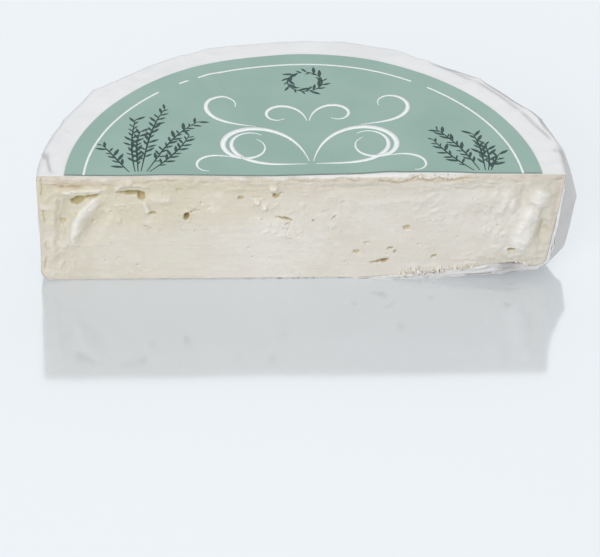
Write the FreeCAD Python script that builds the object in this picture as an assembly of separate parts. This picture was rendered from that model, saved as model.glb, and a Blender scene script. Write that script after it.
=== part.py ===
"""Half a wheel of goat brie, cut across, still in the pleated paper it ripened in.

Three solids: the cheese, the paper wrapper that runs over, round and under it and is
open at the cut, and the half-round label that lies on the wrapper's top.
The wheel's axis stands on Z. The cut is an upright plane facing -Y, and the wheel lies behind it.
Millimetres and degrees.
"""

import FreeCAD
import Part

import math
import os

Vector = FreeCAD.Vector

# The wheel and its cut.
wheel_radius = 96.3
wheel_height = 46.0
cut_past_axis = 5.5
top_rim_round = 2.6
foot_rim_round = 5.5

# The soft paste has slumped: on the +X side the flank leans in and the underside lifts.
top_lean = 1.0
foot_lean = 4.6
lift_start = 22.0
lift_slope_deg = 4.3

# Eyes in the paste, as (x, height, width, tallness, depth).
eyes = [
    (-80.0, 37.1, 9.0, 4.0, 3.2),
    (-55.0, 30.8, 3.6, 1.8, 2.4),
    (-42.3, 29.1, 2.4, 3.8, 4.4),
    (-22.3, 36.9, 2.4, 2.0, 3.0),
    (-9.7, 37.7, 3.0, 2.8, 4.0),
    (38.2, 23.1, 3.0, 2.6, 3.0),
    (20.1, 12.2, 2.6, 2.0, 2.2),
    (32.4, 13.4, 2.4, 2.0, 2.0),
    (47.9, 9.9, 2.0, 1.8, 2.0),
    (76.3, 12.9, 2.6, 1.4, 1.8),
]

# Slits that the knife pulled open, as (x, height, length, tallness, depth, tilt).
slits = [
    (-61.7, 38.8, 9.5, 2.4, 3.4, 2.0),
    (-6.6, 27.4, 5.8, 1.2, 2.6, -14.0),
    (28.3, 8.0, 7.0, 1.2, 3.0, 8.0),
]

# The wrapper. Its flats lie against the wheel and its corners stand out between them.
paper = 0.3
slack = 0.25
top_fold_round = top_rim_round + paper
foot_fold_round = foot_rim_round + paper
pleat_layer = 0.7
belly_height = 26.0
low_height = 12.0

# Its folded layers are crumpled together under the lifted heel, and lift with it further out.
fold_lift_start = 50.0
fold_lift_slope_deg = 6.4

# Pleats round the wheel, as (angle at the rim, sideways run to the foot, stand-off, belly, tuck at the foot,
# width of the folded layer at the foot). The first and last corners only end the outline in front of the cut.
pleats = [
    (2.4, 0.0, -1.9, 0.0, 3.4, 0.0),
    (15.5, -10.7, 2.0, 5.3, 1.8, 3.0),
    (24.5, -5.0, 4.2, -0.4, 1.6, 7.0),
    (45.0, 5.0, 2.8, 0.2, 1.2, 8.0),
    (66.0, 4.0, 2.4, 0.3, 1.6, 5.0),
    (79.0, -5.0, 2.7, 0.4, 1.4, 11.0),
    (94.5, 6.0, 1.9, 0.2, 1.2, 6.0),
    (109.5, -4.0, 2.8, 0.6, 1.8, 8.0),
    (125.0, -7.0, 2.1, 0.2, 1.4, 7.0),
    (140.5, 5.0, 3.6, 0.4, 1.8, 10.0),
    (153.5, 5.0, 1.2, 0.3, 0.6, 4.0),
    (167.0, -3.0, 0.8, 0.5, 0.4, 6.0),
    (177.6, 0.0, 0.1, 0.0, 0.0, 0.0),
]

# The label, concentric with the wheel and set in from its rim.
label_margin = 9.5
label_thickness = 0.2

label_radius = wheel_radius - label_margin
wrap_height = wheel_height + 2 * paper
far = 4 * wheel_radius
shut_radius = 20.0
least_fall = 0.02
step_share = 0.9
rim_steps = 4


def in_front_of_cut():
    """Everything that the knife took away: the space on the -Y side of the cut."""
    return Part.makeBox(2 * far, far, 2 * far, Vector(-far, -far, -far))


def circle(radius, x, z):
    centre = Vector(x, -cut_past_axis, z)
    return Part.Wire(Part.makeCircle(radius, centre, Vector(0, 0, 1)))


def flank_circle(lean, z):
    """The wheel's outline where its +X side has leaned in, and its -X side has not."""
    return circle(wheel_radius - lean / 2, -lean / 2, z)


def edges_at_height(solid, z):
    return [edge for edge in solid.Edges if abs(edge.BoundBox.ZMin - z) < 1e-6 > abs(edge.BoundBox.ZMax - z)]


def eye(x, z, width, tallness, depth):
    """A rounded hollow, as wide, tall and deep as given, centred on the cut."""
    ball = Part.makeSphere(1.0)
    shape = FreeCAD.Matrix()
    shape.scale(width / 2, depth, tallness / 2)
    hollow = ball.transformGeometry(shape)
    hollow.translate(Vector(x, 0, z + paper))
    return hollow


def slit(x, z, length, tallness, depth, tilt):
    """A lens-shaped crack in the cut, tapering to both ends."""
    half = length / 2
    upper = Part.Arc(Vector(-half, 0, 0), Vector(0, 0, tallness / 2), Vector(half, 0, 0)).toShape()
    lower = Part.makeLine(Vector(half, 0, 0), Vector(-half, 0, 0))
    crack = Part.Face(Part.Wire([upper, lower])).extrude(Vector(0, depth, 0))
    crack.rotate(Vector(0, 0, 0), Vector(0, 1, 0), -tilt)
    crack.translate(Vector(x, 0, z + paper))
    return crack


def under_heel(start, slope_deg, height):
    """The space under the lifted heel: below a plane that rises to +X from start, at that height."""
    space = Part.makeBox(far, 2 * far, far, Vector(0, -far, -far))
    space.rotate(Vector(0, 0, 0), Vector(0, 1, 0), -slope_deg)
    space.translate(Vector(start, 0, height))
    return space


def cheese():
    base = paper
    top = paper + wheel_height
    wheel = Part.makeLoft([flank_circle(foot_lean, base), flank_circle(top_lean, top)], True, True)
    wheel = wheel.makeFillet(foot_rim_round, edges_at_height(wheel, base))
    wheel = wheel.makeFillet(top_rim_round, edges_at_height(wheel, top))

    hollows = [eye(*size) for size in eyes] + [slit(*size) for size in slits]
    return wheel.cut(under_heel(lift_start, lift_slope_deg, base)).cut(in_front_of_cut()).cut(hollows)


def fold_levels():
    """Heights up the wrapper as a share of it, each with how far the outline has turned in there."""
    levels = []
    for step in range(rim_steps + 1):
        turn = math.radians(90 * step / rim_steps)
        levels.append((foot_fold_round * (1 - math.cos(turn)), foot_fold_round * (1 - math.sin(turn))))
    levels.append((low_height, 0))
    levels.append((belly_height, 0))
    for step in range(rim_steps + 1):
        turn = math.radians(90 * step / rim_steps)
        height = wrap_height - top_fold_round * (1 - math.sin(turn))
        levels.append((height, top_fold_round * (1 - math.cos(turn))))
    return levels


def belly_share(z):
    """How much of a pleat's belly shows at a height: all of it at belly_height, none at either rim."""
    if z < belly_height:
        return z / belly_height
    return (wrap_height - z) / (wrap_height - belly_height)


def wrapper_outline(z, turned_in, wall, inner):
    """One level of the wrapper's outline: a corner at each pleat, straight in between.

    Outside, the folded layer of paper starts at the corner and ends in a step further round.
    It has no width at the rim and all of its width at the foot.
    """
    fall = 1 - z / wrap_height
    flat = wheel_radius + slack + paper
    angles = [angle + run * fall for angle, run, _, _, _, _ in pleats]
    gaps = [after - before for before, after in zip(angles, angles[1:])]
    points = []
    for i, (_, _, stand_off, belly, tuck, width) in enumerate(pleats):
        widest_gap = max(gaps[max(i - 1, 0) : i + 1])
        reach = flat / math.cos(math.radians(widest_gap / 2)) + stand_off + belly * belly_share(z) - tuck * fall
        reach -= turned_in + wall
        points.append((angles[i], reach))
        if width and not inner:
            half = math.degrees(width / flat) * (fall + least_fall) / 2
            points[-1] = (angles[i] - half, reach + pleat_layer * (fall + least_fall))
            points.append((angles[i] - step_share * half, reach))
            points.append((angles[i] + half, reach))
    points += [(angles[-1], shut_radius), (angles[0], shut_radius)]
    height = z if not inner else paper + z * wheel_height / wrap_height
    return Part.makePolygon(
        [
            Vector(
                reach * math.cos(math.radians(angle)),
                reach * math.sin(math.radians(angle)) - cut_past_axis,
                height,
            )
            for angle, reach in points + points[:1]
        ]
    )


def wrapper():
    outside = Part.makeLoft([wrapper_outline(z, turn, 0, False) for z, turn in fold_levels()], True, True)
    inside = Part.makeLoft([wrapper_outline(z, turn, paper, True) for z, turn in fold_levels()], True, True)
    outside = outside.cut(under_heel(fold_lift_start, fold_lift_slope_deg, 0))
    inside = inside.cut(under_heel(lift_start, lift_slope_deg, paper))
    return outside.cut(inside).cut(in_front_of_cut())


def label():
    disc = Part.makeCylinder(label_radius, label_thickness, Vector(0, -cut_past_axis, wrap_height))
    return disc.cut(in_front_of_cut())


def one_solid(shape):
    """The solid itself, out of the compound that a cut leaves."""
    assert len(shape.Solids) == 1, f"{len(shape.Solids)} solids"
    return shape.Solids[0]


def main():
    parts = {"cheese": one_solid(cheese()), "wrapper": one_solid(wrapper()), "label": one_solid(label())}
    box = Part.makeCompound(list(parts.values())).optimalBoundingBox(False)
    to_middle = Vector(-box.Center.x, -box.Center.y, -box.ZMin)
    os.makedirs("parts", exist_ok=True)
    for name, solid in parts.items():
        solid.translate(to_middle)
        solid.exportStep(f"parts/{name}.step")
        size = solid.optimalBoundingBox(False)
        print(f"{name}: {solid.Volume / 1000:.1f} cm3, valid {solid.isValid()}")
        print(f"  x {size.XMin:.2f}..{size.XMax:.2f}, y {size.YMin:.2f}..{size.YMax:.2f}, z {size.ZMin:.2f}..{size.ZMax:.2f}")


main()
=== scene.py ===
import math

import bmesh
import bpy
import numpy as np
from mathutils import Matrix, Vector


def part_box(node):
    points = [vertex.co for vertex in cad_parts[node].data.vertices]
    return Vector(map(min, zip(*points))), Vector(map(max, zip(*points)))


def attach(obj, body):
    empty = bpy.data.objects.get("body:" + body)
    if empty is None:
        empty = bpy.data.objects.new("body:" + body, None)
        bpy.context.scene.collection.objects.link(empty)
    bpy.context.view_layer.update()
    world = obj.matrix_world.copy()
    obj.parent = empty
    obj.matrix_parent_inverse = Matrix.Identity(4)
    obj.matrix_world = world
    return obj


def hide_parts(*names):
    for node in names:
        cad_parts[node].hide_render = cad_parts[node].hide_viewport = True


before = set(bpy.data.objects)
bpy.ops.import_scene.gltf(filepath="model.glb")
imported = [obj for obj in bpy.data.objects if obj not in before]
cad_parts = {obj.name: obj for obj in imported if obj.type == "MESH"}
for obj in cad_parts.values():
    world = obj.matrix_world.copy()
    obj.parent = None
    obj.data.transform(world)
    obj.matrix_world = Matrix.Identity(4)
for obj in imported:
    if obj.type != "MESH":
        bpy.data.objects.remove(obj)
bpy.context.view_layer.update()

# CHEESE
# Half a wheel of soft goat cheese: moist ivory paste under a thin bloomy rind, slumped on its right side.
# A knife has dragged through it, so the cut is torn, smeared and ridged, with small eyes and slits.
# The cut is a fine relief; the flank, top and underside behind it are a plain shell in the wrapper.
mm = 0.001
cheese_low, cheese_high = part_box("cheese")
label_low, label_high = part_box("label")
cut_y = cheese_low.y
axis_x = (label_low.x + label_high.x) / 2
label_chord = (label_high.x - label_low.x) / 2
label_reach = label_high.y - cut_y
label_radius = (label_chord**2 + label_reach**2) / (2 * label_reach) / mm
past_axis = label_radius - label_reach / mm

wheel_radius = math.hypot(axis_x - cheese_low.x, past_axis * mm) / mm
wheel_base = cheese_low.z / mm
wheel_top = cheese_high.z / mm
# The cut's outline: how far its sides lean, how its corners are rounded, and how the heel lifts.
foot_lean, top_lean, left_sway = 4.6, 1.0, 0.3
right_foot_round, left_foot_round, top_rim_round, rim_sharpness = 3.2, 4.6, 1.3, 35
cheese_height, top_over = 46, 0.12
heel_from, heel_rise, heel_sag = 21, 0.083, 0.00015
# Points across the cut and up it, and how many of those rows one row of the shell takes.
columns, rows = 529, 129
shell_step = 4
# How far the shell draws in from the wrapper, the heart that it draws in to, and the wheel's half sizes.
shell_slack = 1.2
shell_heart, shell_half = np.array([0, 0, 23]), np.array([97, 97, 23])


def ease(value, low, high):
    """0 below low, 1 above high, and a smooth rise between."""
    share = np.clip((value - low) / (high - low), 0, 1)
    return share * share * (3 - 2 * share)


def hump(value, middle, width):
    """1 at the middle, falling off smoothly on both sides of it."""
    return np.exp(-(((value - middle) / width) ** 2))


def patches(x, z, size, seed):
    """A smooth random field from -1 to 1, its patches about that size in millimetres."""
    values = np.random.default_rng(seed).uniform(-1, 1, (256, 256))
    across, up = np.asarray(x) / size, np.asarray(z) / size
    i, j = np.floor(across).astype(int), np.floor(up).astype(int)
    a, b = ease(across - i, 0, 1), ease(up - j, 0, 1)

    def corner(di, dj):
        return values[(i + di) % 256, (j + dj) % 256]

    low = corner(0, 0) * (1 - a) + corner(1, 0) * a
    high = corner(0, 1) * (1 - a) + corner(1, 1) * a
    return low * (1 - b) + high * b


def torn(x, z, size, seed):
    """Patches on patches, as soft paste tears."""
    return sum(patches(x, z, size / 2**n, seed + n) / 2**n for n in range(3)) / 1.75


def torn_line(x, size, seed):
    """The same ground read along one line."""
    return torn(x, 0 * x, size, seed)


def cliffs(x, z, size, seed):
    """Torn ground with crisp crests, from about -1 to 1."""
    return 1 - 2.6 * abs(torn(x, z, size, seed))


def flank(height, side):
    """How far the cut face reaches to one side of the axis, from the foot at 0 to the top at 1."""
    lean = foot_lean * (1 - height) ** 1.2 + top_lean if side > 0 else left_sway * np.sin(5 * height)
    foot_size = right_foot_round if side > 0 else left_foot_round
    foot = foot_size * (1 - np.sqrt(1 - np.clip(1 - height * cheese_height / foot_size, 0, 1) ** 2))
    rim = top_rim_round * (1 - np.sqrt(1 - np.clip(1 - (1 - height) * rim_sharpness, 0, 1) ** 2))
    return side * (wheel_radius - lean - foot - rim)


def underside(x):
    """The foot edge of the cut: flat, then lifting under the heel, where gathered paper presses it in."""
    out = np.maximum(x - heel_from, 0)
    pressed_in = 2.2 * ease(x, 52, 74) * ease(86.5 - x, 0, 8) + 0.5 * ease(x, 40, 52) * ease(70 - x, 0, 14)
    return wheel_base + heel_rise * out - heel_sag * out**2 + pressed_in


def top_rise(x):
    """How far the top lies above a level one: its left rim stands, its middle and its right side sag."""
    left, middle, right = 0.45 * ease(-x, 62, 98), 0.45 * hump(x, -14, 15), 0.25 * ease(x, 60, 96)
    return left - middle - right + 0.3 * hump(x, 30, 16) + 0.25 * hump(x, -50, 12)


def topside(x):
    return wheel_top + top_over + top_rise(x)


def cut_point(u, v):
    """A point of the flat cut: u runs from left to right, v from the foot to the top."""
    x = flank(v, -1) + u * (flank(v, 1) - flank(v, -1))
    return x, underside(x) + v * (topside(x) - underside(x))


# Eyes: x from the axis, height, width, tallness, depth, turn in degrees.
eyes = [
    (-82, 36.2, 5.2, 3.8, 2.3, 30),
    (-77.6, 38, 6.6, 1.3, 2.2, 12),
    (-58.9, 37.9, 2.3, 3.4, 2.3, 8),
    (-55, 30.3, 3.5, 1.4, 1.9, -6),
    (-42.5, 29, 2.2, 3.7, 3.4, -8),
    (-22.8, 36.7, 2.3, 1.9, 1.5, -10),
    (-10, 37.5, 2.7, 2.1, 2, 20),
    (-8.3, 38.6, 1.6, 0.8, 1.2, 35),
    (3.8, 26.3, 1.1, 1.2, 1.5, -40),
    (38.4, 22.9, 2.7, 2.5, 1.3, 40),
    (20.2, 12, 2.7, 1.9, 1.3, 5),
    (23.8, 16, 2.3, 0.9, 0.9, 6),
    (32.8, 13.6, 2.2, 1.2, 1.7, 4),
    (34.3, 12.1, 1.2, 1.8, 1.4, 10),
    (48.9, 9.9, 2.3, 1.5, 1.6, 25),
    (77.7, 12.9, 3.1, 1.3, 2.4, 4),
    (74.3, 18.8, 1.2, 1.3, 0.8, 0),
    (-5.8, 24.8, 1.4, 0.9, 1, 20),
    (-6.6, 22.5, 1.6, 0.8, 0.8, -15),
    (-87.4, 26, 2.4, 2.6, 0.9, 0),
    (-76.4, 26.4, 1.3, 1.3, 0.9, 30),
    (-45.4, 40.4, 2.6, 1.5, 0.9, -12),
    (-39.4, 22.2, 0.8, 0.9, 0.8, 0),
    (43.1, 15.4, 1.2, 1, 0.6, 0),
    (14.5, 34.6, 0.9, 0.8, 0.5, 0),
]
# Slits the knife pulled open: x and height of the left end and of the right end, width, depth, bow,
# flare to the right.
slits = [
    (-68.4, 39.7, -57.4, 39.1, 1.9, 2.1, 0.1, 0.5),
    (-41.4, 30.6, -37.4, 31.4, 0.5, 1.2, 0.2, -0.6),
    (-20.2, 37, -14.2, 37.2, 0.4, 0.5, -0.1, 0.2),
    (-10.3, 28, -3.8, 26.4, 1.1, 2.4, 0.25, 0.3),
    (10.6, 26.9, 12.1, 28.7, 0.7, 1.4, 0, 0.2),
    (25.3, 7.1, 32.5, 8.6, 1.5, 3, -0.25, 0.5),
    (-58.2, 24.6, -55.2, 22.9, 0.5, 0.8, 0.3, 0),
    (-57.8, 23.4, -55.8, 22.2, 0.4, 0.6, -0.2, 0),
    (6, 36.3, 12.5, 36, 0.35, 0.35, 0.3, 0),
    (52, 40.6, 60, 39.9, 0.5, 0.5, 0.2, 0.2),
    (-88.6, 42.2, -80.5, 42.5, 0.7, 1, 0.1, 0.3),
    (60, 42.6, 72, 41.9, 0.4, 0.4, 0.3, 0),
    (58, 3.9, 84, 5.9, 0.5, 0.5, 0.3, 0),
    (-4.9, 25.6, -6.3, 20.6, 0.35, 0.7, 0.3, 0),
    (-6.1, 20.8, -4.9, 16.4, 0.3, 0.5, -0.3, 0),
    (87.4, 17, 88.6, 27, 0.5, 0.5, 0.2, 0),
]
# Ridges and smears: the same ends, width, height, bow, and how much steeper the upper side is.
ridges = [
    (-84.8, 18.5, -73, 38.6, 4.2, 1.7, 3, 0.45),
    (-88.8, 40.2, -70.5, 41.3, 3, 1.2, 0.1, 0.5),
    (-68.4, 40.4, -64.4, 43.4, 2.4, 0.9, 0.8, 0.3),
    (-65.2, 43.2, -55.6, 41.8, 2.6, 0.8, 0.4, 0.2),
    (-58.6, 36, -56.2, 30.4, 2.4, 1, 0.4, 0.2),
    (-57, 36.4, -47.5, 35.2, 4.4, 0.8, 0.3, 0),
    (-68.2, 27.2, -66.2, 27.5, 2.6, 0.6, 0, 0),
    (-15.2, 31.9, -13, 32.1, 2.6, 1.3, 0, 0),
    (-18.4, 34.9, -15.6, 34.4, 2.2, 1, 0, 0),
    (-12.6, 41.2, -9.4, 40.8, 3.2, 1.1, 0, 0),
    (-6.4, 20.8, -4.6, 18.4, 1.8, 0.6, 0, 0),
    (79.4, 13, 84.6, 32.5, 7.4, 1.7, 0.4, 0.2),
    (85, 32.4, 88.6, 39.6, 7, 1.6, 0.4, 0),
    (71, 28.6, 74.8, 42.4, 3.6, 0.9, -0.9, 0.2),
    (76, 29.6, 77.6, 36, 3, 0.8, 0.2, 0),
    (25, 33.6, 48, 35.4, 3.2, 0.3, 0.6, 0.4),
    (-92.4, 8, -90.8, 36, 3.2, 0.7, -0.5, 0),
    (8, 35.4, 13, 36.6, 2.6, 0.4, 0.5, 0),
    (60, 33, 74, 36, 5, 0.5, 0.5, 0.3),
]
# A ragged tear along the rind right of the middle, as (x, height) of its turns.
rind_tear = [
    (27, 43.9), (34.2, 43), (38.8, 43.8), (41.2, 45.8),
    (46, 43.5), (48.6, 45.4), (52.9, 43.8), (59.4, 45.4),
]
# Broad shallow dents where the paste was pulled away: x, height, width, tallness, depth, turn in degrees.
dents = [
    (-87.4, 28, 9, 26, 1.2, -6),
    (-76, 25, 8, 20, 1.3, -28),
    (-60.5, 41.4, 9, 2.6, 0.5, -3),
    (-13.5, 29.5, 17, 8, 0.6, 0),
    (88.2, 22, 5, 18, 1.6, -4),
    (80.5, 36, 7, 11, 0.9, 0),
    (66, 39.8, 22, 4, 0.6, -3),
    (20, 40.5, 34, 4, 0.4, 0),
    (64, 27, 16, 14, 0.4, 0),
]
# Where the knife smeared the paste in many small streaks: from x and height, to x and height, the streaks'
# angle and its spread, their number, longest length and greatest height.
smeared = [
    (-94, 4, -84, 40, 80, 25, 34, 6, 0.6),
    (-84, 30, -60, 44, 8, 14, 22, 8, 0.5),
    (-60, 40, 60, 44, 2, 6, 34, 12, 0.35),
    (66, 10, 91, 42, 86, 22, 56, 7, 0.45),
    (56, 5, 90, 14, 6, 14, 24, 7, 0.5),
    (40, 26, 70, 41, 15, 25, 26, 6, 0.4),
    (-14, 18, 14, 34, 20, 60, 18, 4, 0.4),
    (-66, 26, -40, 38, -10, 40, 14, 5, 0.4),
    (-80, 3, 60, 30, 4, 25, 60, 5, 0.14),
]
chance = np.random.default_rng(17)
for x0, z0, x1, z1, angle, spread, count, longest, highest in smeared:
    for _ in range(count):
        at_x, at_z = chance.uniform(x0, x1), chance.uniform(z0, z1)
        aim = math.radians(angle + spread * chance.normal() * 0.5)
        half = longest * chance.uniform(0.15, 0.5)
        run, rise = half * math.cos(aim), half * math.sin(aim)
        width = chance.uniform(0.7, 2.2)
        height = highest * chance.uniform(0.3, 1.0)
        steep = chance.uniform(-0.2, 0.55)
        ridges.append((at_x - run, at_z - rise, at_x + run, at_z + rise, width, height, 0.12 * half, steep))
pinholes = 90
for _ in range(pinholes):
    size = chance.uniform(0.45, 1.05)
    at_x, at_z = chance.uniform(-88, 84), chance.uniform(6, 42)
    eyes.append((at_x, at_z, size * 1.2, size, size * 0.55, chance.uniform(-40, 40)))


def along(x, z, x0, z0, x1, z1, bow):
    """Place along a bowed stroke, from -1 to 1 at its ends, and distance beside it."""
    length = math.hypot(x1 - x0, z1 - z0)
    run, rise = (x1 - x0) / length, (z1 - z0) / length
    dx, dz = x - (x0 + x1) / 2, z - (z0 + z1) / 2
    place = (dx * run + dz * rise) * 2 / length
    return place, dz * run - dx * rise - bow * (1 - place**2)


def turned(x, z, feature_x, feature_z, width, tallness, degrees):
    """Place in a turned ellipse: 1 on its edge, along its width and along its tallness."""
    angle = math.radians(degrees)
    dx, dz = x - feature_x, z - feature_z
    across = (dx * math.cos(angle) + dz * math.sin(angle)) * 2 / width
    up = (dz * math.cos(angle) - dx * math.sin(angle)) * 2 / tallness
    return across, up


# The relief of the cut: depth is how far each point lies behind the flat cut.
u, v = np.meshgrid(np.linspace(0, 1, columns), np.linspace(0, 1, rows))
x, z = cut_point(u, v)
from_top = topside(x) - z
from_foot = z - underside(x)
from_left = x - flank(v, -1)
from_right = flank(v, 1) - x
from_side = np.minimum(from_left, from_right)
wobble = torn(x, z, 1.6, 11)
rough = np.maximum.reduce([
    ease(16 - from_left, 0, 12),
    ease(34 - from_right, 0, 22),
    0.8 * ease(9 - from_top, 0, 6),
    0.5 * ease(5 - from_foot, 0, 4) * ease(x, 20, 40),
    0.7 * ease(torn(x, z, 30, 15), 0.05, 0.5),
])
depth = 0.4 * torn(x, z, 26, 21) + 0.16 * torn(x, z, 7, 31) + 0.05 * torn(x, z, 1.3, 41)
depth += rough * (0.55 * torn(x, z, 6.5, 25) + 0.17 * torn(x, z, 2.4, 35) - 0.3 * cliffs(x * 1.4, z, 7, 45))
depth += 0.05 * patches(x / 9, z, 0.9, 47) + 0.06 * patches(x / 14, z, 2.3, 55)
depth -= 0.1 * cliffs(x / 5, z, 2.0, 57) * ease(14 - from_top, 0, 10)
pulled = np.zeros_like(depth)
for dent_x, dent_z, width, tallness, dent_depth, turn in dents:
    out = np.hypot(*turned(x, z, dent_x, dent_z, width, tallness, turn)) + 0.3 * torn(x, z, 5, 65)
    pulled += dent_depth * ease(1.25 - out, 0, 1.1)
lift = np.zeros_like(depth)
bend, lumps = torn(x, z, 4.5, 75), torn(x, z, 2.6, 85)
for x0, z0, x1, z1, width, height, bow, steep in ridges:
    place, beside = along(x, z, x0, z0, x1, z1, bow)
    beside = beside + 0.2 * width * bend
    slope = np.where(beside > 0, 1 - steep, 1 + steep)
    ends = ease(1.3 + 0.2 * wobble - abs(place), 0, 0.8)
    uneven = 1 + (0.2 if height > 1.2 else 0.45) * lumps
    lift = np.maximum(lift, height * ends * uneven * hump(beside * 2 / width, 0, slope))
depth += pulled - lift
hollow = np.zeros_like(depth)
for eye_x, eye_z, width, tallness, eye_depth, turn in eyes:
    across, up = turned(x, z, eye_x, eye_z, width, tallness, turn)
    out = np.hypot(across, up) + 0.4 * wobble
    hollow = np.maximum(hollow, eye_depth * ease(1.12 - out, 0, 0.4) * (0.8 + 0.3 * up.clip(-1, 1)))
    depth -= 0.07 * eye_depth * hump(out, 1.35, 0.25)
for x0, z0, x1, z1, width, slit_depth, bow, flare in slits:
    place, beside = along(x, z, x0, z0, x1, z1, bow)
    gape = np.sqrt(np.clip(1 - place**2, 0.0001, 1)) * (1 + flare * place.clip(-1, 1)) * (1 + 0.4 * wobble)
    within = 1.12 - abs(beside + 0.2 * wobble) * 2 / width / np.maximum(gape, 0.01)
    hollow = np.maximum(hollow, slit_depth * ease(within * ease(1.04 - abs(place), 0, 0.08), 0, 0.6))
depth += hollow

# The rind's edge shows as a flaky band along the top, and as a thin line down both flanks and the foot.
crumbled = ease(x, 36, 42) * ease(64 - x, 0, 4)
band = 2.4 + 0.8 * torn_line(x, 11, 51) + 0.5 * patches(x, 0 * x, 2.1, 61)
band += 0.9 * crumbled + 0.9 * ease(-x, 60, 75)
rind = np.maximum.reduce([
    ease(band - from_top, -0.5, 0.5),
    0.7 * ease(3.6 + 1.2 * torn(x, z, 6, 145) - from_right, 0, 1.6),
    0.35 * ease(7.5 + 2 * torn(x, z, 8, 147) - from_top, 0, 4) * ease(x, 50, 80),
    0.8 * ease(1.0 + 0.5 * torn(x, z, 4, 71) - from_side, 0, 0.7),
    0.6 * ease(0.9 + 0.5 * torn(x, z, 5, 81) - from_foot, 0, 0.7),
])
bloomy = np.maximum(
    ease(x, -2, 2) * (ease(40 - x, 0, 3) + 0.7 * ease(x, 43, 45) * ease(60 - x, 0, 5)),
    0.6 * ease(torn_line(x, 9, 97), 0, 0.5) * ease(-x, -40, -30),
)
bloom = ease(1.5 + 0.9 * torn_line(x, 7, 95) - from_top, 0, 0.5) * bloomy
split = hump(torn(x, z * 1.3, 3.0, 105), 0, 0.11) * ease(band + 0.4 - from_top, 0, 0.4)
split *= 0.2 + 0.4 * crumbled
flakes = torn(x, z * 2.2, 2.6, 91)
ledge = hump(from_top, band, 0.3) * ease(torn_line(x, 6, 101), -0.15, 0.4)
depth += rind * (0.35 * flakes - 0.15) + 0.5 * ledge + 0.6 * split
tear = np.zeros_like(depth)
for (x0, z0), (x1, z1) in zip(rind_tear, rind_tear[1:]):
    place, beside = along(x, z, x0, z0, x1, z1, 0.1)
    tear = np.maximum(tear, ease(1.15 - abs(place), 0, 0.3) * hump(beside + 0.3 * wobble, 0, 0.32))
depth += 0.7 * tear
left_crack = hump(from_left - 1.7, 0.8 * torn(x * 0, z, 6, 121), 0.25) * ease(torn(x, z, 5, 131), -0.1, 0.3)
# An ochre band just inside the right edge.
right_ochre_band = hump(from_right, 2.0, 0.9) * ease(z, 24, 30) * ease(43 - z, 0, 4)
depth += 0.4 * left_crack
ochre = np.maximum.reduce([
    0.95 * tear,
    0.7 * ledge * ease(torn(x, z, 3, 111), -0.3, 0.3),
    0.75 * left_crack,
    0.35 * right_ochre_band,
    0.5 * split * crumbled,
    0.8 * hump(from_top - 4.3, 0.02 * (x + 85), 0.45) * ease(-x, 78, 81) * ease(90 + x, 0, 2),
    0.28 * ease(-x, 64, 72) * ease(from_top, 1.2, 2.2) * ease(5 - from_top, 0, 1.5) * ease(96 + x, 0, 8),
])
# The paste turns beige under the top, down the right side and in a few soft columns.
beige = 0.06 + 0.6 * ease(12.5 - from_top, 0, 10) * (1 - 0.35 * ease(x, 20, 60)) + 0.12 * torn(x, z, 9, 141)
beige += ease(-x, 70, 80) * (0.25 + 0.15 * ease(8 - from_top, 0, 5))
for column_x, width, low, strength in ((-48, 9, 16, 0.35), (88.2, 4.5, 4, 0.85), (44, 6, 4, 0.12)):
    beige += strength * hump(x, column_x, width) * ease(z, low, low + 12)
beige += 0.7 * ease(x, 60, 72) * ease(8 - from_foot, 0, 6)
beige -= 0.5 * hump(x, -9, 13) * ease(32 - z, 0, 12)
edge = np.minimum.reduce([from_top, from_foot + 0.2, from_side])
depth = np.where(depth > 0, depth * ease(edge, 0, 1.6), depth * ease(edge, 0, 0.8))
tone = {
    "rind": rind,
    "hollow": hollow / 3,
    "smear_and_highlight": lift,
    "pulled": pulled,
    "bloom": bloom,
    "beige": beige,
    "ochre": ochre * ease(edge, 0, 0.3),
}

# The shell goes from the cut's foot edge back under the wheel, up its flank and forward over its top.
shell_rows = (rows - 1) // shell_step + 1
u_line = np.linspace(0, 1, columns)
way = np.linspace(0, 1, shell_rows)
height_levels = np.linspace(0, 1, 60)
middle = (flank(height_levels, 1) + flank(height_levels, -1)) / 2
half = (flank(height_levels, 1) - flank(height_levels, -1)) / 2
shell = np.zeros((shell_rows, columns, 3))
for c, share in enumerate(u_line):
    flank_x, flank_z = cut_point(share, height_levels)
    back = np.sqrt(np.maximum(half**2 - (flank_x - middle) ** 2, 0))
    back *= (label_radius - past_axis) / label_radius
    path = np.stack([flank_x, back, flank_z], axis=1)[[0, *range(len(back)), -1]]
    path[[0, -1], 1] = 0
    walked = np.concatenate([[0], np.cumsum(np.linalg.norm(np.diff(path, axis=0), axis=1))])
    shell[:, c] = np.stack([np.interp(way * walked[-1], walked, path[:, k]) for k in range(3)], axis=1)

front = np.stack([x, depth, z], axis=2)
drawn_in = shell_slack * ease(shell[..., 1], 1, 8)[..., None]
shell += drawn_in * (shell_heart - shell) / shell_half
for row in range(shell_rows):
    shell[row, 0] = front[row * shell_step, 0]
    shell[row, -1] = front[row * shell_step, -1]
points = np.concatenate([front.reshape(-1, 3), shell[1:-1, 1:-1].reshape(-1, 3)])


def front_at(row, column):
    return row * columns + column


def shell_at(row, column):
    if row in (0, shell_rows - 1) or column in (0, columns - 1):
        return front_at(row * shell_step, column)
    return rows * columns + (row - 1) * (columns - 2) + column - 1


def in_place(points_mm):
    """Points in millimetres from the wheel's axis, the cut and the table, put where the frame has them."""
    return points_mm * mm + np.array([axis_x, cut_y, 0])


def new_object(name, data):
    made = bpy.data.objects.new(name, data)
    bpy.context.scene.collection.objects.link(made)
    return made


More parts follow.
